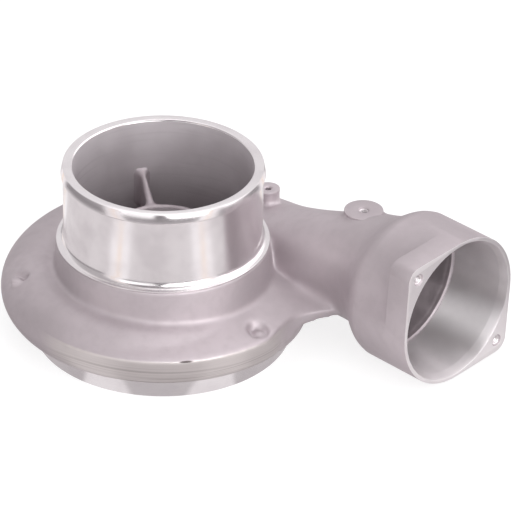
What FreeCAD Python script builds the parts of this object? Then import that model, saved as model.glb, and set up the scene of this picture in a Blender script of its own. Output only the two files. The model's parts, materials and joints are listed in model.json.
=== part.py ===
import FreeCAD, Part
import math
import os

# Turbo compressor housing: one aluminium casting, machined where it meets other parts.
# Millimetres. The origin is on the inlet axis in the base plane, +Z runs up to the inlet,
# and +X runs out of the outlet, which lies beside the inlet axis at +Y.

# Inlet tube, for a hose
total_height = 130.4
tube_r = 68.6
tube_wall = 6.6
rim_chamfer = 0.8
land_rise = 0.2
bead_rise = 1.4
bead_length = 6.2
bead_back = 1.0
tube_length = 52.0
flare_r = 5.0
inlet_bore_r = tube_r - tube_wall

# Cast collar between the tube and the scroll
collar_flare = 6.9
collar_foot_r = tube_r + collar_flare
collar_fillet = 3.5

# Base: spigot that pilots the housing, and the bolting flange above it
spigot_r = 90.0
spigot_height = 17.5
spigot_chamfer = 1.0
flange_foot_r = 101.0
flange_r = 105.0
flange_top = 38.5
flange_edge = 1.5
deck_top = 46.0

# Inside of the base: pilot recess for the backplate, diffuser face and shroud
recess_r = 84.0
recess_depth = 10.0
diffuser_gap = 4.0
diffuser_r = 69.0
mouth_r = 79.0
inducer_r = 31.5
wheel_r = 46.0
shroud_rise = 14.0

# Ported shroud: a ring in the inlet, its slot, the chamber round it and its struts
ring_r = 37.0
ring_top = 79.7
slot_low = 33.0
slot_high = 37.0
chamber_low_r = 46.0
chamber_top = 58.0
strut_count = 3
strut_angle = 149.6
strut_foot_thickness = 9.0
strut_foot_length = 3.5
strut_wall_thickness = 4.0
strut_ring_thickness = 6.4
strut_wall_top = 91.6
strut_depth = 26.0
strut_root = 2.0
strut_drop = 1.0

# Scroll: sections that grow clockwise, seen from above, from the tongue to the duct
tongue_angle = 29.0
scroll_sweep = 299.0
scroll_inner_r = 52.0
scroll_bottom = 8.0
reach_start = 86.5
reach_end = 134.0
scroll_top_start = 45.0
scroll_top_end = 60.5
section_step = 30.0
skin_points = 12
hollow_points = 14
wall = 7.0
hollow_floor = 15.0

# Discharge duct: stations along X, each with its half width and half height
duct_start_x = 30.0
duct_start_rise = 3.5
duct_start_half_width = 36.0
duct_start_half_height = 31.0
duct_mid_x = 78.0
duct_mid_rise = 15.5
duct_mid_half_width = 35.0
duct_mid_half_height = 36.0
duct_neck_x = 104.0
duct_neck_drop = 2.0
duct_neck_half_width = 38.0
duct_neck_half_height = 40.0
barrel_overlap = 1.0
barrel_step = 0.3

# Outlet, for a pipe that plugs in and bolts on
outlet_face_x = 187.3
outlet_y = 96.7
outlet_z = 55.5
outlet_r = 53.8
outlet_bore_r = 49.8
outlet_mouth_r = 51.0
lead_in_length = 7.0
outlet_bore_depth = 50.0
barrel_length = 47.0
lobe_r = 9.5
lobe_length = 18.0
outlet_bolt_circle_r = 60.0
outlet_bolt_angle = 135.0
outlet_bolt_hole_r = 3.4
outlet_bolt_hole_depth = 20.0
countersink = 1.0

# Web between the flange and the duct
web_angle = 13.5
web_top = 38.5
web_near_depth = 13.0
web_far_depth = 6.5
web_waist_y = 42.5
web_waist_out = 1.5
web_end_x = 114.0
web_end_y = 64.0

# Bosses and lugs
tall_boss_x = 2.0
tall_boss_y = 101.5
tall_boss_r = 8.3
tall_boss_top = 72.0
tall_boss_length = 29.0
tall_boss_hole_r = 2.1
pad_boss_x = 93.0
pad_boss_y = 102.0
pad_boss_r = 13.6
pad_boss_top = 92.5
pad_boss_length = 8.0
pad_boss_hole_r = 3.0
boss_hole_depth = 7.0

# Lug at the front right: a bowl with a domed plug
lug_ring_r = 95.0
front_lug_angle = -1.0
front_lug_z = 41.0
bowl_r = 8.0
bowl_depth = 3.5
button_r = 5.0
button_rise = 2.5

# Lug at the left: a pocket with a stub
side_lug_angle = 235.5
pocket_r = 94.0
pocket_lean = 51.0
pocket_z = 46.0
pocket_back = 3.0
pocket_length = 20.0
pocket_width = 14.0
pocket_height = 12.0
stub_ring_r = 102.3
stub_r = 4.2
stub_rise = 2.6

# Groove beside the web
groove_r = 2.4
groove_top_x = 101.5
groove_top_y = 21.0
groove_low_x = 101.5
groove_low_y = 13.0
trim_length = 8.0
trim_over = 1.0


def xyz(x, y, z):
    return FreeCAD.Vector(x, y, z)


def polar(radius, angle, z=0.0):
    turn = math.radians(angle)
    return xyz(radius * math.cos(turn), radius * math.sin(turn), z)


def line(start, end):
    return Part.LineSegment(start, end).toShape()


def arc(start, middle, end):
    return Part.Arc(start, middle, end).toShape()


def turned(edges):
    """A closed outline in the XZ plane, turned round the inlet axis."""
    return Part.Face(Part.Wire(edges)).revolve(xyz(0, 0, 0), xyz(0, 0, 1), 360)


def path(places):
    """Straight edges through places given as radius and height."""
    corners = [xyz(r, 0, z) for r, z in places]
    return [line(a, b) for a, b in zip(corners, corners[1:])]


def quarter(start, end, corner):
    """A round edge between two places that hugs the corner between them."""
    share = math.sqrt(0.5)
    near = [(a + b) / 2 + (c - (a + b) / 2) * (2 * share - 1) for a, b, c in zip(start, end, corner)]
    return arc(xyz(start[0], 0, start[1]), xyz(near[0], 0, near[1]), xyz(end[0], 0, end[1]))


def turned_polygon(points):
    corners = [xyz(r, 0, z) for r, z in points]
    return Part.Face(Part.makePolygon(corners + corners[:1])).revolve(xyz(0, 0, 0), xyz(0, 0, 1), 360)


def cylinder_z(x, y, low, high, radius):
    return Part.makeCylinder(radius, high - low, xyz(x, y, low))


def core():
    """Spigot, flange, deck, collar, tube and bead as one turned body."""
    tube_bottom = total_height - tube_length
    collar_top = tube_bottom - flare_r
    bead_bottom = total_height - bead_length
    flare_outer_r = tube_r + flare_r
    low = [
        (0, 0), (spigot_r - spigot_chamfer, 0), (spigot_r, spigot_chamfer),
        (spigot_r, spigot_height), (flange_foot_r, spigot_height),
        (flange_r, flange_top - flange_edge), (flange_r - flange_edge, flange_top),
        (collar_foot_r + collar_fillet, deck_top),
    ]
    collar = [(collar_foot_r, deck_top + collar_fillet), (flare_outer_r, collar_top)]
    high = [
        (tube_r, tube_bottom), (tube_r, bead_bottom - bead_back), (tube_r + bead_rise, bead_bottom),
        (tube_r + land_rise, total_height), (0, total_height), (0, 0),
    ]
    edges = path(low)
    edges.append(quarter(low[-1], collar[0], (collar_foot_r, deck_top)))
    edges += path(collar)
    edges.append(quarter(collar[1], high[0], (tube_r, collar_top)))
    edges += path(high)
    return turned(edges)


def oval(centre, across, half_across, half_up, points, rounded):
    """An upright closed outline on an ellipse, starting on its outer side: a smooth curve or flat sides."""
    places = []
    for k in range(points):
        turn = 2 * math.pi * k / points
        places.append(centre + across * (half_across * math.cos(turn)) + xyz(0, 0, half_up * math.sin(turn)))
    if not rounded:
        return Part.makePolygon(places + places[:1])
    curve = Part.BSplineCurve()
    curve.interpolate(Points=places, PeriodicFlag=True)
    return Part.Wire(curve.toShape())


def scroll_section(sweep, inset, floor, points, rounded):
    """The scroll's section at an angle from the tongue: inset is 0 outside and the wall inside."""
    share = sweep / scroll_sweep
    outer = reach_start + (reach_end - reach_start) * share - inset
    inner = scroll_inner_r + inset
    top = scroll_top_start + (scroll_top_end - scroll_top_start) * share - inset
    half_across = (outer - inner) / 2
    half_up = (top - floor) / 2
    angle = tongue_angle - sweep
    centre = polar(outer - half_across, angle, floor + half_up)
    return oval(centre, polar(1, angle), half_across, half_up, points, rounded)


def duct_stations():
    """Centre and half sizes of the duct, from the scroll's exit to the outlet's barrel."""
    exit_y = (reach_end + scroll_inner_r) / 2
    exit_z = (scroll_top_end + scroll_bottom) / 2
    barrel_x = outlet_face_x - barrel_length
    gap = barrel_x - duct_neck_x
    stations = [
        (duct_start_x, exit_y, exit_z + duct_start_rise, duct_start_half_width, duct_start_half_height),
        (duct_mid_x, exit_y, exit_z + duct_mid_rise, duct_mid_half_width, duct_mid_half_height),
        (duct_neck_x, outlet_y, outlet_z - duct_neck_drop, duct_neck_half_width, duct_neck_half_height),
    ]
    for way, swell in ((0.50, 0.81), (0.80, 0.95)):
        stations.append((duct_neck_x + gap * way, outlet_y, outlet_z, outlet_r * swell, outlet_r * swell))
    end_r = outlet_r - barrel_step
    stations.append((barrel_x + barrel_overlap, outlet_y, outlet_z, end_r, end_r))
    return stations


def passage(inset, floor, points, rounded):
    """Scroll and duct in one loft, for the skin (inset 0) or for the hollow inside it."""
    count = int(round(scroll_sweep / section_step))
    sections = []
    for k in range(count + 1):
        sections.append(scroll_section(scroll_sweep * k / count, inset, floor, points, rounded))
    for x, y, z, half_width, half_height in duct_stations():
        sides = (half_width - inset, half_height - inset)
        sections.append(oval(xyz(x, y, z), xyz(0, 1, 0), *sides, points, rounded))
    return Part.makeLoft(sections, True, False)


def barrel():
    """The outlet's cylinder with its two bolt lobes, each joined on by flat tangent sides."""
    start = outlet_face_x - barrel_length
    body = Part.makeCylinder(outlet_r, outlet_face_x - start, xyz(start, outlet_y, outlet_z), xyz(1, 0, 0))
    lean = math.degrees(math.acos((outlet_r - lobe_r) / outlet_bolt_circle_r))
    back = outlet_face_x - lobe_length
    for side in (0, 180):
        middle = outlet_bolt_angle + side
        corners = []
        for turn, radius, out in (
            (middle + lean, outlet_r, 0), (middle + lean, lobe_r, outlet_bolt_circle_r),
            (middle - lean, lobe_r, outlet_bolt_circle_r), (middle - lean, outlet_r, 0),
        ):
            y = outlet_y + out * math.cos(math.radians(middle)) + radius * math.cos(math.radians(turn))
            z = outlet_z + out * math.sin(math.radians(middle)) + radius * math.sin(math.radians(turn))
            corners.append(xyz(back, y, z))
        corners.append(xyz(back, outlet_y, outlet_z))
        plate = Part.Face(Part.makePolygon(corners + corners[:1])).extrude(xyz(lobe_length, 0, 0))
        body = body.fuse(plate)
        body = body.fuse(Part.makeCylinder(lobe_r, lobe_length, bolt_place(middle, back), xyz(1, 0, 0)))
    return body


def bolt_place(turn, x):
    y = outlet_y + outlet_bolt_circle_r * math.cos(math.radians(turn))
    z = outlet_z + outlet_bolt_circle_r * math.sin(math.radians(turn))
    return xyz(x, y, z)


def web_edge(height):
    """The web's hollow outer edge, an arc from the flange to the duct."""
    start = polar(flange_foot_r, web_angle, height)
    waist = xyz(start.x + web_waist_out, web_waist_y, height)
    return Part.Arc(start, waist, xyz(web_end_x, web_end_y, height))


def web():
    """The plate that fills the corner between the flange and the duct; it thins out on the way."""
    low = web_top - web_near_depth
    edge = web_edge(low).toShape()
    start, end = edge.valueAt(edge.FirstParameter), edge.valueAt(edge.LastParameter)
    back = xyz(web_end_x, outlet_y, low)
    corner = xyz(duct_mid_x, outlet_y, low)
    inner = polar(collar_foot_r, web_angle, low)
    outline = [edge, line(end, back), line(back, corner), line(corner, inner), line(inner, start)]
    plate = Part.Face(Part.Wire(outline)).extrude(xyz(0, 0, web_near_depth))
    slope = (web_near_depth - web_far_depth) / (end.y - start.y)
    below = [
        xyz(0, start.y, low), xyz(0, back.y, low + slope * (back.y - start.y)),
        xyz(0, back.y, low - trim_over),
    ]
    wedge = Part.Face(Part.makePolygon(below + below[:1])).extrude(xyz(web_end_x + trim_over, 0, 0))
    return plate.cut(wedge)


def trim():
    """The upright cut that runs the flange's edge into the web's hollow edge."""
    curve = web_edge(spigot_height)
    first, last = curve.FirstParameter, curve.LastParameter
    start = curve.value(first)
    half = curve.value(first + (last - first) * 0.4)
    stop = curve.value(first + (last - first) * 0.75)
    outer_x = flange_r + trim_over
    near = xyz(outer_x, -trim_length, spigot_height)
    far = xyz(stop.x + trim_length, stop.y, spigot_height)
    edges = [line(near, start), arc(start, half, stop), line(stop, far), line(far, near)]
    return Part.Face(Part.Wire(edges)).extrude(xyz(0, 0, deck_top - spigot_height))


def rod(start, end, radius):
    return Part.makeCylinder(radius, start.distanceToPoint(end), start, end - start)


def groove():
    """The slanting groove in the flange's wall beside the web."""
    top = xyz(groove_top_x, groove_top_y, flange_top + groove_r)
    return rod(top, xyz(groove_low_x, groove_low_y, spigot_height), groove_r)


def front_lug(body):
    """The spot-faced bolt lug at the front right: a shallow bowl with a domed plug in it."""
    centre = polar(lug_ring_r, front_lug_angle, front_lug_z)
    floor_r = bowl_r - bowl_depth / 2
    bowl = Part.makeCone(floor_r, floor_r + bowl_depth, bowl_depth * 2, centre - xyz(0, 0, bowl_depth))
    ball_r = (button_r ** 2 + button_rise ** 2) / (2 * button_rise)
    ball = Part.makeSphere(ball_r, centre + xyz(0, 0, button_rise - bowl_depth - ball_r))
    post = Part.makeCylinder(button_r, bowl_depth * 2, centre - xyz(0, 0, bowl_depth * 2))
    return body.cut(bowl).fuse(ball.common(post))


def side_lug(body):
    """The bolt lug at the left: a pocket milled into the scroll, with a round stub on its floor."""
    corner = xyz(-pocket_back, -pocket_width, pocket_z)
    pocket = Part.makeBox(pocket_length, pocket_width, pocket_height, corner)
    pocket.rotate(xyz(0, 0, 0), xyz(0, 0, 1), side_lug_angle + pocket_lean)
    pocket.translate(polar(pocket_r, side_lug_angle))
    foot = polar(stub_ring_r, side_lug_angle, pocket_z - stub_r)
    stub = Part.makeCylinder(stub_r, stub_r + stub_rise, foot)
    return body.cut(pocket).fuse(stub)


def bosses():
    tall = cylinder_z(tall_boss_x, tall_boss_y, tall_boss_top - tall_boss_length, tall_boss_top, tall_boss_r)
    pad = cylinder_z(pad_boss_x, pad_boss_y, pad_boss_top - pad_boss_length, pad_boss_top, pad_boss_r)
    return [tall, pad]


def base_hollow():
    """Recess for the backplate, diffuser face, shroud curve and the wheel's bore, cut from below."""
    face = recess_depth + diffuser_gap
    throat = face + shroud_rise
    bend = 0.3
    middle = xyz(inducer_r + (wheel_r - inducer_r) * bend, 0, face + shroud_rise * bend)
    edges = [
        line(xyz(0, 0, -1), xyz(recess_r, 0, -1)),
        line(xyz(recess_r, 0, -1), xyz(recess_r, 0, recess_depth)),
        line(xyz(recess_r, 0, recess_depth), xyz(diffuser_r, 0, recess_depth)),
        line(xyz(diffuser_r, 0, recess_depth), xyz(diffuser_r, 0, face)),
        line(xyz(diffuser_r, 0, face), xyz(wheel_r, 0, face)),
        arc(xyz(wheel_r, 0, face), middle, xyz(inducer_r, 0, throat)),
        line(xyz(inducer_r, 0, throat), xyz(inducer_r, 0, slot_low + 1)),
        line(xyz(inducer_r, 0, slot_low + 1), xyz(0, 0, slot_low + 1)),
        line(xyz(0, 0, slot_low + 1), xyz(0, 0, -1)),
    ]
    return turned(edges)


def inlet_hollow():
    """The inlet bore, narrowing in a chamber down to the slot under the shroud ring."""
    return turned_polygon([
        (0, total_height + 1), (inlet_bore_r + rim_chamfer + 1, total_height + 1),
        (inlet_bore_r, total_height - rim_chamfer), (inlet_bore_r, chamber_top),
        (chamber_low_r, slot_high), (ring_r, slot_low), (0, slot_low),
    ])


def shroud_ring():
    """The ring round the wheel's inlet, with a chamfered lip."""
    lip = (ring_r - inducer_r) / 3
    return turned_polygon([
        (inducer_r, slot_high), (ring_r, slot_high), (ring_r, ring_top - lip), (ring_r - lip, ring_top),
        (inducer_r + lip, ring_top), (inducer_r, ring_top - lip),
    ])


def strut(angle):
    """A web that slopes from the inlet's wall down to the ring: a wide foot, then it thickens on the way."""
    middle = (inducer_r + ring_r) / 2
    slope = (strut_wall_top - ring_top) / (inlet_bore_r - middle)
    neck_r = inlet_bore_r - strut_foot_length
    ends = [
        (inlet_bore_r + strut_root, strut_wall_top, strut_foot_thickness),
        (inlet_bore_r, strut_wall_top, strut_foot_thickness),
        (neck_r, strut_wall_top - strut_foot_length * slope, strut_wall_thickness),
        (middle, ring_top - strut_drop, strut_ring_thickness),
    ]
    wires = []
    for radius, top, thickness in ends:
        half = thickness / 2
        corners = [xyz(radius, y, z) for y, z in (
            (-half, top), (half, top), (half, top - strut_depth), (-half, top - strut_depth))]
        wires.append(Part.makePolygon(corners + corners[:1]))
    plate = Part.makeLoft(wires, True, True)
    plate.rotate(xyz(0, 0, 0), xyz(0, 0, 1), angle)
    return plate


def scroll_mouth():
    """The ring-shaped gap through which the scroll is fed from the diffuser."""
    top = recess_depth + hollow_floor
    return turned_polygon([
        (diffuser_r, recess_depth), (mouth_r, recess_depth), (mouth_r, top), (diffuser_r, top),
    ])


def outlet_hollow():
    """The machined bore of the outlet and its lead-in."""
    along = xyz(1, 0, 0)
    mouth = xyz(outlet_face_x, outlet_y, outlet_z)
    bore = Part.makeCylinder(outlet_bore_r, outlet_bore_depth, mouth - along * outlet_bore_depth, along)
    slope = (outlet_mouth_r - outlet_bore_r) / lead_in_length
    start = mouth - along * lead_in_length
    cone = Part.makeCone(outlet_bore_r, outlet_mouth_r + slope, lead_in_length + 1, start, along)
    return bore.fuse(cone)


def drilled(place, direction, radius, depth):
    """A blind hole from its mouth, with a small countersink and a drill point."""
    hole = Part.makeCylinder(radius, depth, place, direction)
    tip = Part.makeCone(radius, 0, radius * 0.6, place + direction * depth, direction)
    sink = Part.makeCone(radius + countersink, radius, countersink, place, direction)
    return hole.fuse([tip, sink])


def holes():
    down = xyz(0, 0, -1)
    inward = xyz(-1, 0, 0)
    cuts = [
        drilled(xyz(tall_boss_x, tall_boss_y, tall_boss_top), down, tall_boss_hole_r, boss_hole_depth),
        drilled(xyz(pad_boss_x, pad_boss_y, pad_boss_top), down, pad_boss_hole_r, boss_hole_depth),
    ]
    for side in (0, 180):
        place = bolt_place(outlet_bolt_angle + side, outlet_face_x)
        cuts.append(drilled(place, inward, outlet_bolt_hole_r, outlet_bolt_hole_depth))
    return cuts


def main():
    body = core()
    skin = passage(0, scroll_bottom, skin_points, True)
    body = body.fuse([skin, barrel(), web()] + bosses())
    print("outside", body.isValid(), len(body.Solids), round(body.Volume))
    body = body.cut([trim(), base_hollow(), inlet_hollow(), scroll_mouth(), outlet_hollow()] + holes())
    print("cut", body.isValid(), len(body.Solids), round(body.Volume))
    body = body.cut(passage(wall, hollow_floor, hollow_points, False))
    print("hollow", body.isValid(), len(body.Solids), round(body.Volume))
    body = side_lug(front_lug(body.cut(groove())))
    print("lugs", body.isValid(), len(body.Solids), round(body.Volume))
    struts = [strut(strut_angle + 360.0 * k / strut_count) for k in range(strut_count)]
    body = body.fuse([shroud_ring()] + struts)
    print("ring", body.isValid(), len(body.Solids), round(body.Volume))
    os.makedirs("parts", exist_ok=True)
    body.exportStep("parts/compressor_housing.step")
    print("housing", body.isValid(), len(body.Solids), body.BoundBox)


main()
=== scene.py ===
# %% [markdown]
# # A turbo compressor housing
# The real object is one aluminium casting. Sand leaves most of it matte and softly rounded, and a lathe
# then cuts the few places where other parts seat: the inlet tube, the outlet, the lowest band and the
# rims. The whole look rests on that contrast, so the casting is dressed as one soft skin, and each
# turned place is a crisp piece of its own, set a hair above the skin.

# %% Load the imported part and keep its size
import json
import math

import bmesh
import bpy
from mathutils import Matrix, Vector


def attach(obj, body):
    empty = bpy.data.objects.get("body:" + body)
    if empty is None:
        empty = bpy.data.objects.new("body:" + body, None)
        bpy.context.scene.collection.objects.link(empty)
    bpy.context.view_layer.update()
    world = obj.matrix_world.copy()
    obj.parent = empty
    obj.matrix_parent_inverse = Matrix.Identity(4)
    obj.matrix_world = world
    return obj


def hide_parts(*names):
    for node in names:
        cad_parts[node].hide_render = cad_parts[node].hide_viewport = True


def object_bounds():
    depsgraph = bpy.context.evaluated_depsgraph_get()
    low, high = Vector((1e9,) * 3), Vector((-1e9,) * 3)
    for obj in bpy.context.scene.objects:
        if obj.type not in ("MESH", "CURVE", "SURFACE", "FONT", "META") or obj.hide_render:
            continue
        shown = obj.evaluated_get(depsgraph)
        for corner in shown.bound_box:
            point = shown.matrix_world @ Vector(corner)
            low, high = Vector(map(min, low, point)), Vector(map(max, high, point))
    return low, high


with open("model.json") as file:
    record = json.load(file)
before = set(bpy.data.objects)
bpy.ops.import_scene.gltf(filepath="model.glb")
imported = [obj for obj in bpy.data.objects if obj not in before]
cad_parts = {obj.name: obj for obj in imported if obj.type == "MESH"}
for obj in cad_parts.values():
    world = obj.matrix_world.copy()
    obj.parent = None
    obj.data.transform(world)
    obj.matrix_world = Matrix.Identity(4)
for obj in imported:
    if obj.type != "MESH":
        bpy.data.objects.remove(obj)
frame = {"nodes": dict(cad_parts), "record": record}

cad_low, cad_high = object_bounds()
housing = frame["nodes"]["compressor_housing"]
mounts = {mount["name"]: mount for mount in frame["record"]["mounts"]}
print("size", [round(v, 4) for v in cad_high - cad_low], "faces", len(housing.data.polygons))

# %% [markdown]
# ## Sizes
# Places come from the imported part: its box gives the rim and the outlet's face, and its mounts give the
# axes of the outlet and of the tapped holes. The radii of the turned faces are those of the source.

# %% Sizes in metres
rim_z = cad_high.z
outlet_x = cad_high.x
outlet_axis = Vector(mounts["outlet_pipe"]["pos_m"])
pad_hole = Vector(mounts["pad_boss_hole"]["pos_m"])
tall_hole = Vector(mounts["tall_boss_hole"]["pos_m"])
bolt_circle = mounts["outlet_bolts"]["dims"]["pcd_mm"] / 2000

bore_r = 0.062
land_r = 0.0688
bead_r = 0.070
tube_r = 0.0686
bead_z = rim_z - 0.0062
tube_z = rim_z - 0.052
flare = 0.005
bore_z = 0.058

spigot_r = 0.090
seat_z = 0.0175
flange_r = 0.105
flange_z = 0.0385
recess_r = 0.084
recess_z = 0.010
mouth_r = 0.079
diffuser_r = 0.069
diffuser_z = 0.014
wheel_r = 0.046
inducer_r = 0.0315
throat_z = 0.028
ring_low_z = 0.037
ring_r = 0.037
ring_z = 0.0797

outlet_r = 0.0538
outlet_bore_r = 0.0498
outlet_bore_x = outlet_x - 0.050
barrel_x = outlet_x - 0.047

tall_boss_r = 0.0083
tall_hole_r = 0.0021
pad_boss_r = 0.0136
pad_hole_r = 0.003
bolt_hole_r = 0.0034
countersink = 0.001
boss_tops = {"tall": tall_hole.z + 0.002, "pad": pad_hole.z + 0.002}
print("outlet axis at", [round(v, 4) for v in outlet_axis], "boss tops", boss_tops)

# %% [markdown]
# ## Materials
# Cast aluminium is a metal with a rough, slightly uneven surface: a soft broad sheen, a fine grain from
# the sand, and faint clouds of tone where the metal cooled at different speeds. All patterns read
# Object coordinates, in metres, so a noise scale of 1500 has grains smaller than a millimetre.

# %% Helpers for node trees
def new_material(name):
    material = bpy.data.materials.new(name)
    material.use_nodes = True
    return material, material.node_tree.nodes, material.node_tree.links


def noise(nodes, links, where, scale, detail, stretch=(1, 1, 1)):
    """A noise's factor output, on coordinates that may be stretched."""
    mapping = nodes.new("ShaderNodeMapping")
    mapping.inputs["Scale"].default_value = stretch
    texture = nodes.new("ShaderNodeTexNoise")
    texture.inputs["Scale"].default_value = scale
    texture.inputs["Detail"].default_value = detail
    links.new(where, mapping.inputs["Vector"])
    links.new(mapping.outputs["Vector"], texture.inputs["Vector"])
    return texture.outputs["Fac"]


def spread(nodes, links, value, low, high, to_low, to_high):
    """Maps a value smoothly from one span to another."""
    node = nodes.new("ShaderNodeMapRange")
    node.interpolation_type = "SMOOTHSTEP"
    for name, number in (("From Min", low), ("From Max", high), ("To Min", to_low), ("To Max", to_high)):
        node.inputs[name].default_value = number
    links.new(value, node.inputs["Value"])
    return node.outputs["Result"]


def calculate(nodes, links, operation, first, second=None):
    """One Math node; an input may be a number or another node's output."""
    node = nodes.new("ShaderNodeMath")
    node.operation = operation
    for slot, value in zip(node.inputs, (first, second)):
        if value is None:
            continue
        if isinstance(value, (int, float)):
            slot.default_value = value
        else:
            links.new(value, slot)
    return node.outputs[0]


def mix_colour(nodes, links, share, first, second):
    """Mixes two colours, each a tuple or another node's output."""
    node = nodes.new("ShaderNodeMix")
    node.data_type = "RGBA"
    links.new(share, node.inputs["Factor"])
    for slot, value in ((node.inputs["A"], first), (node.inputs["B"], second)):
        if isinstance(value, tuple):
            slot.default_value = (*value, 1)
        else:
            links.new(value, slot)
    return node.outputs["Result"]


def bump(nodes, links, height, strength, distance, before=None):
    """A normal tilted by a height; before is the normal of a coarser bump under it."""
    node = nodes.new("ShaderNodeBump")
    node.inputs["Strength"].default_value = strength
    node.inputs["Distance"].default_value = distance
    links.new(height, node.inputs["Height"])
    if before:
        links.new(before, node.inputs["Normal"])
    return node.outputs["Normal"]


# %% [markdown]
# One place on the casting's own skin is cut by a lathe too: the wall of the flange at the front. A mask
# finds it by its distance from the inlet's axis, its height, and the side it faces. A second mask marks a
# nick on that wall's upper edge, where the casting was knocked; the skin has no dent there, so the nick's
# dark colour is painted shade. A third mask paints shade into the duct's hollow behind the outlet's bore.

# %% Masks on the casting
def along(nodes, links, where, direction, origin=(0, 0, 0)):
    """How far a point lies along a direction from an origin."""
    apart = nodes.new("ShaderNodeVectorMath")
    apart.operation = "SUBTRACT"
    apart.inputs[1].default_value = origin
    dot = nodes.new("ShaderNodeVectorMath")
    dot.operation = "DOT_PRODUCT"
    dot.inputs[1].default_value = direction
    links.new(where, apart.inputs[0])
    links.new(apart.outputs["Vector"], dot.inputs[0])
    return dot.outputs["Value"]


def hypotenuse(nodes, links, first, second):
    """The length of the long side over two values at right angles."""
    first = calculate(nodes, links, "POWER", first, 2)
    second = calculate(nodes, links, "POWER", second, 2)
    return calculate(nodes, links, "SQRT", calculate(nodes, links, "ADD", first, second))


def every(nodes, links, *masks):
    """The product of several masks: 1 only where all of them are 1."""
    result = masks[0]
    for mask in masks[1:]:
        result = calculate(nodes, links, "MULTIPLY", result, mask)
    return result


flange_front = Vector((math.cos(math.radians(-40)), math.sin(math.radians(-40)), 0))
wall_inner_r = 0.100
wall_outer_r = 0.106
blur = 0.0004
nick_angle = math.radians(-35.5)
nick_length = 0.0055
nick_height = 0.0008
nick_depth = 0.01
nick_z = flange_z - 2 * nick_height
nick_place = Vector((flange_r * math.cos(nick_angle), flange_r * math.sin(nick_angle), nick_z))
nick_along = Vector((-math.sin(nick_angle), math.cos(nick_angle), 0))
nick_out = Vector((math.cos(nick_angle), math.sin(nick_angle), 0))


def flange_wall(nodes, links, where):
    """1 on the turned front of the flange's wall, fading out towards the left and at its upper edge."""
    x = along(nodes, links, where, (1, 0, 0))
    y = along(nodes, links, where, (0, 1, 0))
    r = hypotenuse(nodes, links, x, y)
    z = along(nodes, links, where, (0, 0, 1))
    return every(
        nodes, links,
        spread(nodes, links, r, wall_inner_r - blur, wall_inner_r + blur, 0, 1),
        spread(nodes, links, r, wall_outer_r - blur, wall_outer_r + blur, 1, 0),
        spread(nodes, links, z, seat_z - blur, seat_z + blur, 0, 1),
        spread(nodes, links, z, flange_z - 4 * blur, flange_z - 2 * blur, 1, 0),
        spread(nodes, links, along(nodes, links, where, flange_front), 0.056, 0.078, 0, 1))


def nick(nodes, links, where):
    """1 inside a flat oval on the flange's edge, fading out at its rim."""
    length = along(nodes, links, where, nick_along / nick_length, nick_place)
    height = along(nodes, links, where, Vector((0, 0, 1 / nick_height)), nick_place)
    depth = along(nodes, links, where, nick_out / nick_depth, nick_place)
    upright = hypotenuse(nodes, links, length, height)
    return spread(nodes, links, hypotenuse(nodes, links, upright, depth), 0.5, 1.1, 1, 0)


# Painted shade: a cone round the outlet's axis marks the duct's hollow behind the outlet's bore, and the
# colour darkens it there.
hollow_shade_tip_x = 0.104
hollow_shade_taper = 0.45
hollow_shade_r = 0.0347


def painted_hollow_shade(nodes, links, where):
    """1 on the duct's inside behind the outlet's bore, where painted shade makes the hollow look dark."""
    x = along(nodes, links, where, (1, 0, 0))
    y = along(nodes, links, where, (0, 1, 0), (0, outlet_axis.y, 0))
    z = along(nodes, links, where, (0, 0, 1), (0, 0, outlet_axis.z))
    from_tip = calculate(nodes, links, "SUBTRACT", x, hollow_shade_tip_x)
    cone = calculate(nodes, links, "MULTIPLY", from_tip, hollow_shade_taper)
    inside = calculate(nodes, links, "SUBTRACT", hypotenuse(nodes, links, y, z), cone)
    return every(
        nodes, links,
        spread(nodes, links, inside, hollow_shade_r - 0.0005, hollow_shade_r + 0.0005, 1, 0),
        spread(nodes, links, x, 0.070, 0.090, 0, 1),
        spread(nodes, links, x, outlet_bore_x + 0.0003, outlet_bore_x + 0.0006, 1, 0))


# %% Cast aluminium
cast_light = (0.555, 0.50, 0.525)
cast_dark = (0.495, 0.445, 0.467)
wall_light = (0.62, 0.575, 0.57)
wall_dark = (0.46, 0.42, 0.415)
# The next colour is painted shade for the duct's hollow behind the outlet's bore.
hollow_shade_colour = (0.14, 0.12, 0.128)
# The next colour is painted shade in the nick: the nick is real, its darkness stands in for the shade in
# it.
nick_painted_shade = (0.09, 0.075, 0.075)


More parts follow.
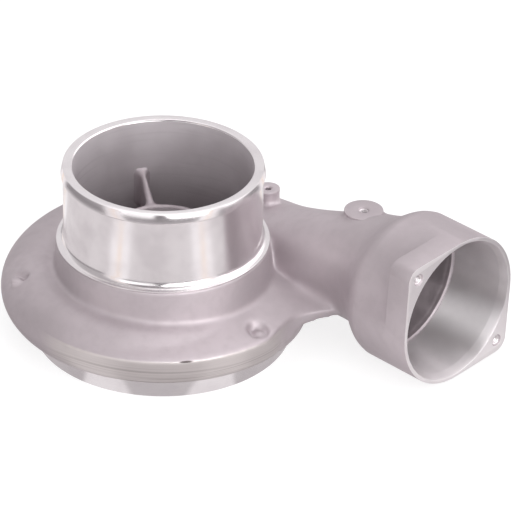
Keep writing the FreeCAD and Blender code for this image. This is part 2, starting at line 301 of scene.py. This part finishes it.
def cast_aluminium():
    material, nodes, links = new_material("cast_aluminium")
    shader = nodes["Principled BSDF"]
    where = nodes.new("ShaderNodeTexCoord").outputs["Object"]
    clouds = spread(nodes, links, noise(nodes, links, where, 14, 2), 0.35, 0.65, 0, 1)
    blotches = noise(nodes, links, where, 120, 4)
    grain = noise(nodes, links, where, 1500, 3)
    tone = mix_colour(nodes, links, clouds, cast_dark, cast_light)
    tone = mix_colour(nodes, links, spread(nodes, links, blotches, 0.45, 0.7, 0, 0.3), tone, cast_dark)
    wall = flange_wall(nodes, links, where)
    rings = noise(nodes, links, where, 1, 2, stretch=(9, 9, 900))
    low = spread(nodes, links, along(nodes, links, where, (0, 0, 1)), 0.026, 0.033, 1, 0.25)
    dark_rings = calculate(nodes, links, "MULTIPLY", spread(nodes, links, rings, 0.45, 0.68, 0, 1), low)
    lathed = mix_colour(nodes, links, dark_rings, wall_light, wall_dark)
    tone = mix_colour(nodes, links, wall, tone, lathed)
    # The nick is a real dent, but its dark colour is painted shade, since the skin has no dent there.
    tone = mix_colour(nodes, links, nick(nodes, links, where), tone, nick_painted_shade)
    # Painted shade: the duct's hollow behind the outlet's bore is darkened in the colour.
    tone = mix_colour(nodes, links, painted_hollow_shade(nodes, links, where), tone, hollow_shade_colour)
    links.new(tone, shader.inputs["Base Color"])
    rough = spread(nodes, links, blotches, 0.3, 0.7, 0.55, 0.64)
    rough = calculate(nodes, links, "SUBTRACT", rough, calculate(nodes, links, "MULTIPLY", wall, 0.14))
    links.new(rough, shader.inputs["Roughness"])
    shader.inputs["Metallic"].default_value = 0.8
    wavy = bump(nodes, links, noise(nodes, links, where, 70, 2), 0.15, 0.0012)
    grooved = bump(nodes, links, calculate(nodes, links, "MULTIPLY", rings, wall), 0.2, 0.0003, wavy)
    links.new(bump(nodes, links, grain, 0.25, 0.00015, grooved), shader.inputs["Normal"])
    return material


# %% [markdown]
# A lathe leaves very fine rings. Close to, they are grooves; from a step away they smear a reflection
# along the axis of turning and leave it sharp round the axis, so a bright lamp becomes a bright band.
# That is what an anisotropic metal does when its tangent follows the rings and is turned by a quarter. A
# faint bump shows the few rings that are wide enough to be seen.

# %% Turned aluminium
turned_light = (0.88, 0.85, 0.86)
turned_dark = (0.81, 0.775, 0.79)
bored_dark = (0.55, 0.51, 0.53)
bored_light = (0.61, 0.57, 0.59)
bored_streak = (0.48, 0.44, 0.46)


def turned_aluminium(name, axis, centre, roughness, smear, tight, groove):
    """axis and centre give the axis of turning, smear how far reflections run along it."""
    material, nodes, links = new_material(name)
    shader = nodes["Principled BSDF"]
    where = nodes.new("ShaderNodeTexCoord").outputs["Object"]
    rings = noise(nodes, links, where, 1, 2, stretch=[14 + tight * part for part in axis])
    haze = noise(nodes, links, where, 45, 3)
    apart = nodes.new("ShaderNodeVectorMath")
    apart.operation = "SUBTRACT"
    apart.inputs[1].default_value = centre
    around = nodes.new("ShaderNodeVectorMath")
    around.operation = "CROSS_PRODUCT"
    around.inputs[0].default_value = axis
    links.new(where, apart.inputs[0])
    links.new(apart.outputs["Vector"], around.inputs[1])
    links.new(around.outputs["Vector"], shader.inputs["Tangent"])
    shader.inputs["Anisotropic"].default_value = smear
    shader.inputs["Anisotropic Rotation"].default_value = 0.25
    hazy = spread(nodes, links, haze, 0.35, 0.7, 0, 1)
    links.new(mix_colour(nodes, links, hazy, turned_light, turned_dark), shader.inputs["Base Color"])
    shader.inputs["Metallic"].default_value = 1.0
    rough = spread(nodes, links, haze, 0.3, 0.7, roughness - 0.03, roughness + 0.05)
    links.new(rough, shader.inputs["Roughness"])
    links.new(bump(nodes, links, rings, groove, 0.00008), shader.inputs["Normal"])
    return material


def bored_aluminium():
    """The inlet's bore: a duller cut than the outside, grey and smooth."""
    material, nodes, links = new_material("bored_inlet")
    shader = nodes["Principled BSDF"]
    where = nodes.new("ShaderNodeTexCoord").outputs["Object"]
    haze = noise(nodes, links, where, 30, 3)
    streaks = noise(nodes, links, where, 1, 3, stretch=(20, 20, 420))
    hazy = spread(nodes, links, haze, 0.35, 0.65, 0, 1)
    streaked = spread(nodes, links, streaks, 0.5, 0.75, 0, 0.4)
    tone = mix_colour(nodes, links, hazy, bored_dark, bored_light)
    tone = mix_colour(nodes, links, streaked, tone, bored_streak)
    links.new(tone, shader.inputs["Base Color"])
    shader.inputs["Metallic"].default_value = 0.6
    links.new(spread(nodes, links, haze, 0.3, 0.7, 0.50, 0.58), shader.inputs["Roughness"])
    links.new(bump(nodes, links, streaks, 0.15, 0.0001), shader.inputs["Normal"])
    return material


cast = cast_aluminium()
bored = bored_aluminium()
turned_up = turned_aluminium("turned_inlet", (0, 0, 1), (0, 0, 0), 0.21, 0.6, 2600, 0.35)
turned_out = turned_aluminium("turned_outlet", (1, 0, 0), outlet_axis, 0.43, 0.97, 450, 0.08)
faced = turned_aluminium("faced_outlet", (1, 0, 0), outlet_axis, 0.48, 0.2, 450, 0.08)
print("materials", [m.name for m in bpy.data.materials])

# %% [markdown]
# ## The cast skin
# Sharp corners between the scroll, the deck and the collar never leave a mould: sand needs rounded
# ones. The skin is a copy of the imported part, built again from small even cells by a voxel remesh, and
# then smoothed, which turns every corner into a small fillet. That is quicker and steadier than
# bevelling the edges where two curved walls cross. The two lugs are small, so they get fewer rounds.

# %% Copy, remesh and smooth the casting
voxel = 0.0014
lug_rounds = 3
other_rounds = 5
front_lug = Vector((0.095, -0.0017, 0.041))
left_lug = Vector((-0.0555, -0.0808, 0.047))
lug_reach = 0.014


def merged_copy(name):
    """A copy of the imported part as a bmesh, with its loose triangles joined."""
    bm = bmesh.new()
    bm.from_mesh(housing.data)
    bmesh.ops.remove_doubles(bm, verts=bm.verts, dist=0.00001)
    print(name, "starts from", len(bm.verts), "points")
    return bm


def modified(bm, kind, **settings):
    """The shape in bm after one modifier, as a new bmesh."""
    mesh = bpy.data.meshes.new("rough_skin")
    bm.to_mesh(mesh)
    bm.free()
    source = bpy.data.objects.new("rough_skin", mesh)
    bpy.context.scene.collection.objects.link(source)
    modifier = source.modifiers.new("shape", kind)
    for name, value in settings.items():
        setattr(modifier, name, value)
    made = bpy.data.meshes.new_from_object(source.evaluated_get(bpy.context.evaluated_depsgraph_get()))
    bpy.data.objects.remove(source)
    fresh = bmesh.new()
    fresh.from_mesh(made)
    bpy.data.meshes.remove(made)
    return fresh


def smooth(verts, rounds):
    """In each round every point moves half way to the middle of its neighbours."""
    for _ in range(rounds):
        bmesh.ops.smooth_vert(
            skin, verts=verts, factor=0.5, use_axis_x=True, use_axis_y=True, use_axis_z=True)


skin = modified(merged_copy("skin"), "REMESH", mode="VOXEL", voxel_size=voxel)
smooth(skin.verts, lug_rounds)
away_from_lugs = [
    v for v in skin.verts
    if (v.co - front_lug).length > lug_reach and (v.co - left_lug).length > lug_reach]
smooth(away_from_lugs, other_rounds)
print("skin cells", len(skin.faces))

# %% [markdown]
# Where the web under the duct runs into its side, the mould has a much larger radius. More rounds, for
# the points near that crease only, widen the fillet there. The reach shrinks in steps, so the widened
# fillet fades out instead of ending in a step. Points below the web's top, which is level with the
# flange's, stay where they are, so the web keeps its thickness.

# %% Widen the fillet between the web and the duct
crease_start = Vector((0.076, 0.046, 0.042))
crease_end = Vector((0.117, 0.067, 0.037))
crease_reaches = (0.014, 0.0125, 0.011, 0.0095, 0.008, 0.0065)
crease_rounds = 14
crease_low_z = flange_z - 0.001


def distance_to_crease(place):
    """How far a point lies from the straight line along the crease."""
    way = crease_end - crease_start
    share = min(1, max(0, (place - crease_start).dot(way) / way.length_squared))
    return (place - crease_start - way * share).length


for crease_reach in crease_reaches:
    near_crease = [
        v for v in skin.verts if v.co.z > crease_low_z and distance_to_crease(v.co) < crease_reach]
    smooth(near_crease, crease_rounds)
    print("softened", len(near_crease), "points within", crease_reach)

# %% [markdown]
# Where a turned piece covers the skin, the skin is moved half a millimetre inwards, along its own
# normals, so it never shows through; on the base ring it is a little more. Over the two drilled holes it
# is pushed down, so that the holes in the caps are open.

# %% Tuck the skin under the turned faces
tuck_depth = 0.0005
deep_tuck = 0.0013
drill_depth = 0.0065
drill_r = 0.0042
touching = 0.0004
beside_it = 0.0006
just_below = 0.0012
bosses = ((tall_hole, tall_boss_r, boss_tops["tall"]), (pad_hole, pad_boss_r, boss_tops["pad"]))


def under_turning(place):
    """How far a point of the skin goes inwards: more than 0 on the faces that a lathe has cut."""
    r = math.hypot(place.x, place.y)
    if r < spigot_r + 0.0016 and r > recess_r + 0.002 and place.z < seat_z + 0.0008:
        return deep_tuck
    if r > bore_r - touching and r < flare + tube_r + beside_it and place.z > tube_z - flare - just_below:
        return tuck_depth
    if abs(r - bore_r) < touching and place.z > bore_z:
        return tuck_depth
    if r < recess_r + touching and place.z < throat_z + 0.006:
        return tuck_depth
    if r < ring_r + touching and place.z > ring_low_z - 0.0005:
        return tuck_depth
    for hole, radius, top in bosses:
        if math.hypot(place.x - hole.x, place.y - hole.y) < radius + 0.0002 and place.z > top - just_below:
            return tuck_depth
    off_axis = math.hypot(place.y - outlet_axis.y, place.z - outlet_axis.z)
    if place.x > barrel_x + 0.0005 or (place.x > outlet_bore_x and off_axis < outlet_bore_r + beside_it):
        return tuck_depth
    return 0


skin.normal_update()
moves = [(v, v.normal * under_turning(v.co)) for v in skin.verts if under_turning(v.co)]
for vert, move in moves:
    vert.co -= move
print("tucked", len(moves), "of", len(skin.verts))
for vert in skin.verts:
    for hole, radius, top in bosses:
        if math.hypot(vert.co.x - hole.x, vert.co.y - hole.y) < drill_r and vert.co.z > top - 0.0025:
            vert.co.z -= drill_depth

# %% [markdown]
# The outlet's barrel is a piece of its own, so the skin ends inside its wall. A plane cuts it off, and
# the two rims of the cut are bridged.

# %% End the skin inside the barrel
cut = bmesh.ops.bisect_plane(
    skin, geom=skin.verts[:] + skin.edges[:] + skin.faces[:], dist=0.000001,
    plane_co=(barrel_x + 0.010, 0, 0), plane_no=(1, 0, 0), clear_outer=True)
rims = [e for e in cut["geom_cut"] if isinstance(e, bmesh.types.BMEdge)]
bmesh.ops.bridge_loops(skin, edges=rims)
print("skin after the cut", len(skin.faces))

# %% [markdown]
# Even cells are wasteful: a long calm wall has as many as a tight corner. A collapse keeps the shape with
# fewer triangles where it is calm, which brings the skin well under its limit.

# %% Thin the skin out
wanted_triangles = 170000
kept_share = wanted_triangles / (2 * len(skin.faces))
skin = modified(skin, "DECIMATE", decimate_type="COLLAPSE", ratio=kept_share)
print("skin thinned to", len(skin.faces))


# %% Make a piece of the object from a bmesh
def finished(name, bm, materials, sharp_angle=35):
    """An object with its materials and smooth shading that rides on the part's body."""
    mesh = bpy.data.meshes.new(name)
    bm.to_mesh(mesh)
    bm.free()
    for material in materials:
        mesh.materials.append(material)
    mesh.shade_smooth()
    mesh.set_sharp_from_angle(angle=math.radians(sharp_angle))
    piece = bpy.data.objects.new(name, mesh)
    bpy.context.scene.collection.objects.link(piece)
    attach(piece, "root")
    print(name, len(mesh.polygons), "faces")
    return piece


cast_skin = finished("cast_skin", skin, [cast], 80)
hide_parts("compressor_housing")

# %% [markdown]
# ## The turned inlet
# A lathe makes surfaces of revolution, and so does a spin: half of the wall's section, as a closed
# outline of radius and height, goes once round the inlet's axis. The edges that a file has broken get a
# narrow bevel, which catches the light as a thin line.

# %% Spin helper
def spun(outline, steps, edge_break, place=Matrix.Identity(4)):
    """A closed outline of (radius, height) pairs, turned once round an axis and then put in its place."""
    bm = bmesh.new()
    verts = [bm.verts.new((r, 0, h)) for r, h in outline]
    edges = [bm.edges.new((a, b)) for a, b in zip(verts, verts[1:] + verts[:1])]
    bmesh.ops.spin(
        bm, geom=verts + edges, cent=(0, 0, 0), axis=(0, 0, 1), angle=2 * math.pi, steps=steps,
        use_merge=True)
    bmesh.ops.recalc_face_normals(bm, faces=bm.faces)
    crisp = [e for e in bm.edges if e.is_manifold and e.calc_face_angle() > math.radians(28)]
    if edge_break:
        bmesh.ops.bevel(
            bm, geom=crisp, offset=edge_break, offset_type="OFFSET", affect="EDGES",
            segments=2, profile=0.5, material=-1)
    bmesh.ops.transform(bm, verts=bm.verts, matrix=place)
    return bm


def arc_between(start, end, centre, count):
    """Points of a round corner about a centre, ends left out."""
    first = math.atan2(start[1] - centre[1], start[0] - centre[0])
    last = math.atan2(end[1] - centre[1], end[0] - centre[0])
    turn = (last - first + math.pi) % (2 * math.pi) - math.pi
    radius = math.dist(start, centre)
    angles = [first + turn * k / count for k in range(1, count)]
    return [(centre[0] + radius * math.cos(a), centre[1] + radius * math.sin(a)) for a in angles]


# %% Inlet tube, bead and bore
collar_edge = (tube_r + flare, tube_z - flare)
tube_foot = (tube_r, tube_z)
skirt_z = collar_edge[1] - 0.0022
hidden_wall = 0.002
inlet_outline = [
    (bore_r, bore_z), (bore_r, rim_z - 0.0008), (bore_r + 0.0008, rim_z), (land_r, rim_z),
    (bead_r, bead_z), (tube_r, bead_z - 0.001), tube_foot,
    *arc_between(tube_foot, collar_edge, (tube_r + flare, tube_z), 6),
    collar_edge, (collar_edge[0] - 0.0006, skirt_z), (collar_edge[0] - 0.002, skirt_z),
    (bore_r + hidden_wall, collar_edge[1] - 0.004), (bore_r + hidden_wall, bore_z),
]
inlet = spun(inlet_outline, 192, 0.0002)
for face in inlet.faces:
    middle = face.calc_center_median()
    inside = math.hypot(middle.x, middle.y) < bore_r + 0.0001 and middle.z < rim_z - 0.0010
    face.material_index = 1 if inside else 0
finished("turned_inlet", inlet, [turned_up, bored])

# %% [markdown]
# ## Shroud ring, base and diffuser
# The ring stands inside the inlet round the wheel's entry, with a rounded lip. Underneath are the seat
# and the face that the backplate and the wheel run against; they are hidden as the part stands, and
# still turned as the real ones are.

# %% Ring and base pieces
lip_r = (ring_r - inducer_r) / 2
lip_z = ring_z - lip_r
ring_outline = [
    (inducer_r, ring_low_z), (ring_r, ring_low_z), (ring_r, lip_z),
    *arc_between((ring_r, lip_z), (inducer_r, lip_z - 0.00001), (inducer_r + lip_r, lip_z), 8),
    (inducer_r, lip_z),
]
finished("shroud_ring", spun(ring_outline, 128, 0.0001), [bored])

seat_top = seat_z + 0.0006
base_outline = [
    (mouth_r, recess_z), (recess_r, recess_z), (recess_r, 0.0), (spigot_r - 0.001, 0.0), (spigot_r, 0.001),
    (spigot_r, seat_top), (spigot_r - hidden_wall, seat_top),
    (spigot_r - hidden_wall, recess_z + hidden_wall), (mouth_r, recess_z + hidden_wall),
]
finished("turned_base", spun(base_outline, 192, 0.0002), [turned_up])

bend = 0.3
contour_bottom = (wheel_r, diffuser_z)
contour_top = (inducer_r, throat_z)
contour_middle = (inducer_r + (wheel_r - inducer_r) * bend, diffuser_z + (throat_z - diffuser_z) * bend)
throat_top = throat_z + 0.005
shroud_outline = [
    (diffuser_r, diffuser_z), contour_bottom, contour_middle, contour_top, (inducer_r, throat_top),
    (inducer_r + 0.003, throat_top), (wheel_r + 0.003, diffuser_z + 0.0015),
    (diffuser_r, diffuser_z + 0.0015),
]
finished("turned_shroud", spun(shroud_outline, 128, 0.0001), [turned_up])

# %% [markdown]
# ## Boss tops and tapped holes
# The two bosses are faced off flat and drilled. Each gets a crisp cap, with the countersink and the hole,
# over the softer skin. Three of the holes are tapped: rings as close as a thread's turns catch the light
# on their lower side, which is what shows of a thread from a step away.

# %% Caps of the two bosses
cap_rim = 0.0024
cap_wall = 0.0012
cap_depth = 0.006


def cap(name, hole, radius, hole_radius, top):
    """A boss's flat top with a short rim outside and the countersunk hole inside."""
    outline = [
        (hole_radius, top - cap_depth), (hole_radius, top - countersink), (hole_radius + countersink, top),
        (radius, top), (radius, top - cap_rim), (radius - cap_wall, top - cap_rim),
        (hole_radius + cap_wall, top - cap_depth),
    ]
    return finished(name, spun(outline, 64, 0.00025, Matrix.Translation((hole.x, hole.y, 0))), [cast])


cap("tall_boss_cap", tall_hole, tall_boss_r, tall_hole_r, boss_tops["tall"])
cap("pad_boss_cap", pad_hole, pad_boss_r, pad_hole_r, boss_tops["pad"])


# %% Threads
pad_pitch = 0.0010
pad_turns = 5
bolt_pitch = 0.00125
bolt_turns = 8


def thread(name, radius, pitch, turns, place):
    """A ring with a saw-toothed inside, from its mouth at height 0 downwards."""
    outline = []
    for k in range(turns):
        outline += [(radius + 0.0001, -pitch * k), (radius - 0.0005, -pitch * (k + 0.5))]
    outline += [(radius + 0.0001, -pitch * turns), (radius + 0.0006, -pitch * turns), (radius + 0.0006, 0)]
    return finished(name, spun(outline, 40, 0, place), [faced], 20)


pad_mouth = Vector((pad_hole.x, pad_hole.y, boss_tops["pad"] - countersink))
thread("pad_thread", pad_hole_r, pad_pitch, pad_turns, Matrix.Translation(pad_mouth))
outward = Matrix.Rotation(math.pi / 2, 4, "Y")
for name, turn in (("upper", math.radians(135)), ("lower", math.radians(315))):
    from_axis = Vector((0, bolt_circle * math.cos(turn), bolt_circle * math.sin(turn)))
    mouth = Vector((outlet_x - countersink, outlet_axis.y + from_axis.y, outlet_axis.z + from_axis.z))
    place = Matrix.Translation(mouth) @ outward
    thread(name + "_bolt_thread", bolt_hole_r, bolt_pitch, bolt_turns, place)

# %% [markdown]
# ## The outlet's barrel
# The barrel has a lobe on two sides, so it isn't a plain spin. It is cut from the merged copy of the
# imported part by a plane, its flat faces are joined into single ones, and its corners are bevelled: the
# face and the bore are bright, and the outside stays cast.

# %% Cut out and bevel the barrel
barrel = merged_copy("barrel")
bmesh.ops.bisect_plane(
    barrel, geom=barrel.verts[:] + barrel.edges[:] + barrel.faces[:], dist=0.000001,
    plane_co=(outlet_bore_x + 0.0005, 0, 0), plane_no=(1, 0, 0), clear_inner=True)
stray = []
for face in barrel.faces:
    middle = face.calc_center_median()
    off_axis = math.hypot(middle.y - outlet_axis.y, middle.z - outlet_axis.z)
    if middle.x < barrel_x + 0.0011 and off_axis > outlet_bore_r + 0.0005:
        stray.append(face)
bmesh.ops.delete(barrel, geom=stray, context="FACES")
bmesh.ops.dissolve_limit(barrel, angle_limit=math.radians(0.5), verts=barrel.verts, edges=barrel.edges)
for face in barrel.faces:
    middle = face.calc_center_median()
    off_axis = math.hypot(middle.y - outlet_axis.y, middle.z - outlet_axis.z)
    if middle.x > outlet_x - 0.0001:
        face.material_index = 2
    elif off_axis < outlet_r - 0.0015:
        face.material_index = 1
corners = [e for e in barrel.edges if e.is_manifold and e.calc_face_angle() > math.radians(30)]
barrel_edge_break = 0.0003
bmesh.ops.bevel(
    barrel, geom=corners, offset=barrel_edge_break, offset_type="OFFSET", affect="EDGES",
    segments=2, profile=0.5, material=-1)
open_rims = [e for e in barrel.edges if e.is_boundary]
print("open rims", len(open_rims))
bmesh.ops.bridge_loops(barrel, edges=open_rims)
bmesh.ops.recalc_face_normals(barrel, faces=barrel.faces)
finished("outlet_barrel", barrel, [cast, turned_out, faced], 30)

# %% [markdown]
# ## Floor, light and camera
# The photograph has a white ground and soft light from above and from both sides. Turned metal shows what
# surrounds it, so the room that reflections see is painted apart from the one the camera sees: a grey
# floor with four bright sheets standing round the object, each with a thin warm stripe, bright cards
# overhead and to the right, and a darker place where the photographer stands. The Light Path node tells
# the rays apart.

# %% The sheets that reflections see
view_azimuth = math.radians(44.1)
facing = Vector((math.sin(view_azimuth), -math.cos(view_azimuth), 0))
beside = Vector((math.cos(view_azimuth), math.sin(view_azimuth), 0))


sheet_slant = 1.33
sheet_close = (0.86, 0.83, 0.84)
sheet_far = (1.04, 1.01, 1.025)
stripe_colour = (1.0, 0.74, 0.50)


def room_sheets(nodes, links, where, shift, close_ground, near_ground, far_ground):
    """Four bright sheets, each a band on a slanting line from the object outwards, with a warm stripe."""
    ahead = calculate(nodes, links, "ABSOLUTE", along(nodes, links, where, facing))
    aside = calculate(nodes, links, "ABSOLUTE", along(nodes, links, where, beside))
    reach = calculate(nodes, links, "ADD", hypotenuse(nodes, links, ahead, aside), 0.000001)
    slanted = calculate(nodes, links, "MULTIPLY", ahead, sheet_slant)
    off = calculate(nodes, links, "SUBTRACT", aside, slanted)
    off = calculate(nodes, links, "DIVIDE", calculate(nodes, links, "ADD", off, shift), reach)
    off = calculate(nodes, links, "ABSOLUTE", off)
    clear = spread(nodes, links, reach, 0.13, 0.19, 0, 1)
    ground = mix_colour(nodes, links, clear, close_ground, near_ground)
    ground = mix_colour(nodes, links, spread(nodes, links, reach, 0.27, 0.38, 0, 1), ground, far_ground)
    sheet = mix_colour(nodes, links, clear, sheet_close, sheet_far)
    seen = mix_colour(nodes, links, spread(nodes, links, off, 0.24, 0.34, 1, 0), ground, sheet)
    stripe = spread(nodes, links, off, 0.02, 0.055, 0.85, 0)
    warm = calculate(nodes, links, "MULTIPLY", stripe, spread(nodes, links, reach, 0.16, 0.22, 0, 1))
    return mix_colour(nodes, links, warm, seen, stripe_colour)


# %% Floor
floor_pale = (0.9, 0.9, 0.9)
floor_seen = (0.34, 0.34, 0.34)
floor_glow = 0.74
sheet_shift = 0.072
floor_close = (0.56, 0.53, 0.54)
floor_near = (0.80, 0.765, 0.775)
floor_far = (0.30, 0.28, 0.29)

floor_material, nodes, links = new_material("pale_floor")
shader = nodes["Principled BSDF"]
shader.inputs["Roughness"].default_value = 0.9
shader.inputs["Emission Color"].default_value = (1, 1, 1, 1)
rays = nodes.new("ShaderNodeLightPath")
by_camera = rays.outputs["Is Camera Ray"]
links.new(mix_colour(nodes, links, by_camera, floor_pale, floor_seen), shader.inputs["Base Color"])
links.new(calculate(nodes, links, "MULTIPLY", by_camera, floor_glow), shader.inputs["Emission Strength"])
where = nodes.new("ShaderNodeTexCoord").outputs["Object"]
seen = room_sheets(nodes, links, where, sheet_shift, floor_close, floor_near, floor_far)
card = nodes.new("ShaderNodeEmission")
links.new(seen, card.inputs["Color"])
pick = nodes.new("ShaderNodeMixShader")
links.new(rays.outputs["Is Glossy Ray"], pick.inputs["Fac"])
links.new(shader.outputs["BSDF"], pick.inputs[1])
links.new(card.outputs["Emission"], pick.inputs[2])
links.new(pick.outputs["Shader"], nodes["Material Output"].inputs["Surface"])
floor_mesh = bmesh.new()
bmesh.ops.create_grid(floor_mesh, x_segments=1, y_segments=1, size=6)
mesh = bpy.data.meshes.new("floor")
floor_mesh.to_mesh(mesh)
floor_mesh.free()
mesh.materials.append(floor_material)
floor = bpy.data.objects.new("floor", mesh)
bpy.context.scene.collection.objects.link(floor)

# %% World
room_grey = (0.50, 0.475, 0.485)
back_wall = (0.84, 0.82, 0.83)
right_card = (1.8, 1.75, 1.77)
top_card = (1.5, 1.46, 1.48)
camera_dark = (0.20, 0.18, 0.19)
feet_dark = (0.12, 0.11, 0.115)
room_light = (0.72, 0.72, 0.72)

world = bpy.data.worlds.new("studio")
bpy.context.scene.world = world
world.use_nodes = True
nodes, links = world.node_tree.nodes, world.node_tree.links
rays = nodes.new("ShaderNodeLightPath")
direction = nodes.new("ShaderNodeTexCoord").outputs["Generated"]
toward_camera = along(nodes, links, direction, (0.49, -0.51, 0.707))
toward_feet = along(nodes, links, direction, (0.56, -0.83, 0))
overhead = along(nodes, links, direction, (0.30, 0, 0.954))
toward_right = along(nodes, links, direction, (0.52, 0.79, 0.33))
away = along(nodes, links, direction, -facing)
room = room_sheets(nodes, links, direction, 0.0, room_grey, room_grey, room_grey)
room = mix_colour(nodes, links, spread(nodes, links, away, 0.1, 0.6, 0, 1), room, back_wall)
room = mix_colour(nodes, links, spread(nodes, links, toward_right, 0.72, 0.88, 0, 1), room, right_card)
room = mix_colour(nodes, links, spread(nodes, links, overhead, 0.88, 0.94, 0, 1), room, top_card)
room = mix_colour(nodes, links, spread(nodes, links, toward_camera, 0.76, 0.92, 0, 0.9), room, camera_dark)
room = mix_colour(nodes, links, spread(nodes, links, toward_feet, 0.78, 0.90, 0, 0.92), room, feet_dark)
lit = mix_colour(nodes, links, rays.outputs["Is Glossy Ray"], room_light, room)
by_camera = rays.outputs["Is Camera Ray"]
shown = calculate(nodes, links, "MAXIMUM", by_camera, rays.outputs["Is Transmission Ray"])
links.new(mix_colour(nodes, links, shown, lit, (1, 1, 1)), nodes["Background"].inputs["Color"])


# %% Lamps
def softbox(name, azimuth, elevation, distance, size, watts):
    """A square lamp that looks at the object from an azimuth and elevation like the camera's."""
    turn, lift = math.radians(azimuth), math.radians(elevation)
    back = Vector((math.sin(turn) * math.cos(lift), -math.cos(turn) * math.cos(lift), math.sin(lift)))
    lamp = bpy.data.lights.new(name, "AREA")
    lamp.size = size
    lamp.energy = watts
    holder = bpy.data.objects.new(name, lamp)
    holder.location = centre + back * distance
    holder.rotation_euler = back.to_track_quat("Z", "Y").to_euler()
    bpy.context.scene.collection.objects.link(holder)


centre = (cad_low + cad_high) / 2
lamp_distance = 1.6
softbox("left_softbox", 18, 17, lamp_distance, 1.0, 3.8)
softbox("right_softbox", 70, 24, lamp_distance, 1.2, 17.5)
softbox("top_softbox", 205, 70, lamp_distance, 1.4, 4)

# %% Camera
view_elevation = math.radians(31.17)
view_roll = math.radians(1.13)
view_distance = 2.4
view_target = Vector((0.04309, 0.04175, 0.060))

back = Vector((
    math.sin(view_azimuth) * math.cos(view_elevation),
    -math.cos(view_azimuth) * math.cos(view_elevation),
    math.sin(view_elevation)))
upright = back.cross(beside)
right = beside * math.cos(view_roll) + upright * math.sin(view_roll)
up = upright * math.cos(view_roll) - beside * math.sin(view_roll)
lens = bpy.data.cameras.new("camera")
lens.sensor_width = 36
lens.lens = 244.3
lens.shift_x = 0.0121
lens.shift_y = -0.0031
lens.clip_start = 0.1
lens.clip_end = 20
camera = bpy.data.objects.new("camera", lens)
turned_to = Matrix((right, up, back)).transposed().to_4x4()
camera.matrix_world = Matrix.Translation(view_target + back * view_distance) @ turned_to
bpy.context.scene.collection.objects.link(camera)
bpy.context.scene.camera = camera
bpy.context.scene.view_settings.view_transform = "Standard"
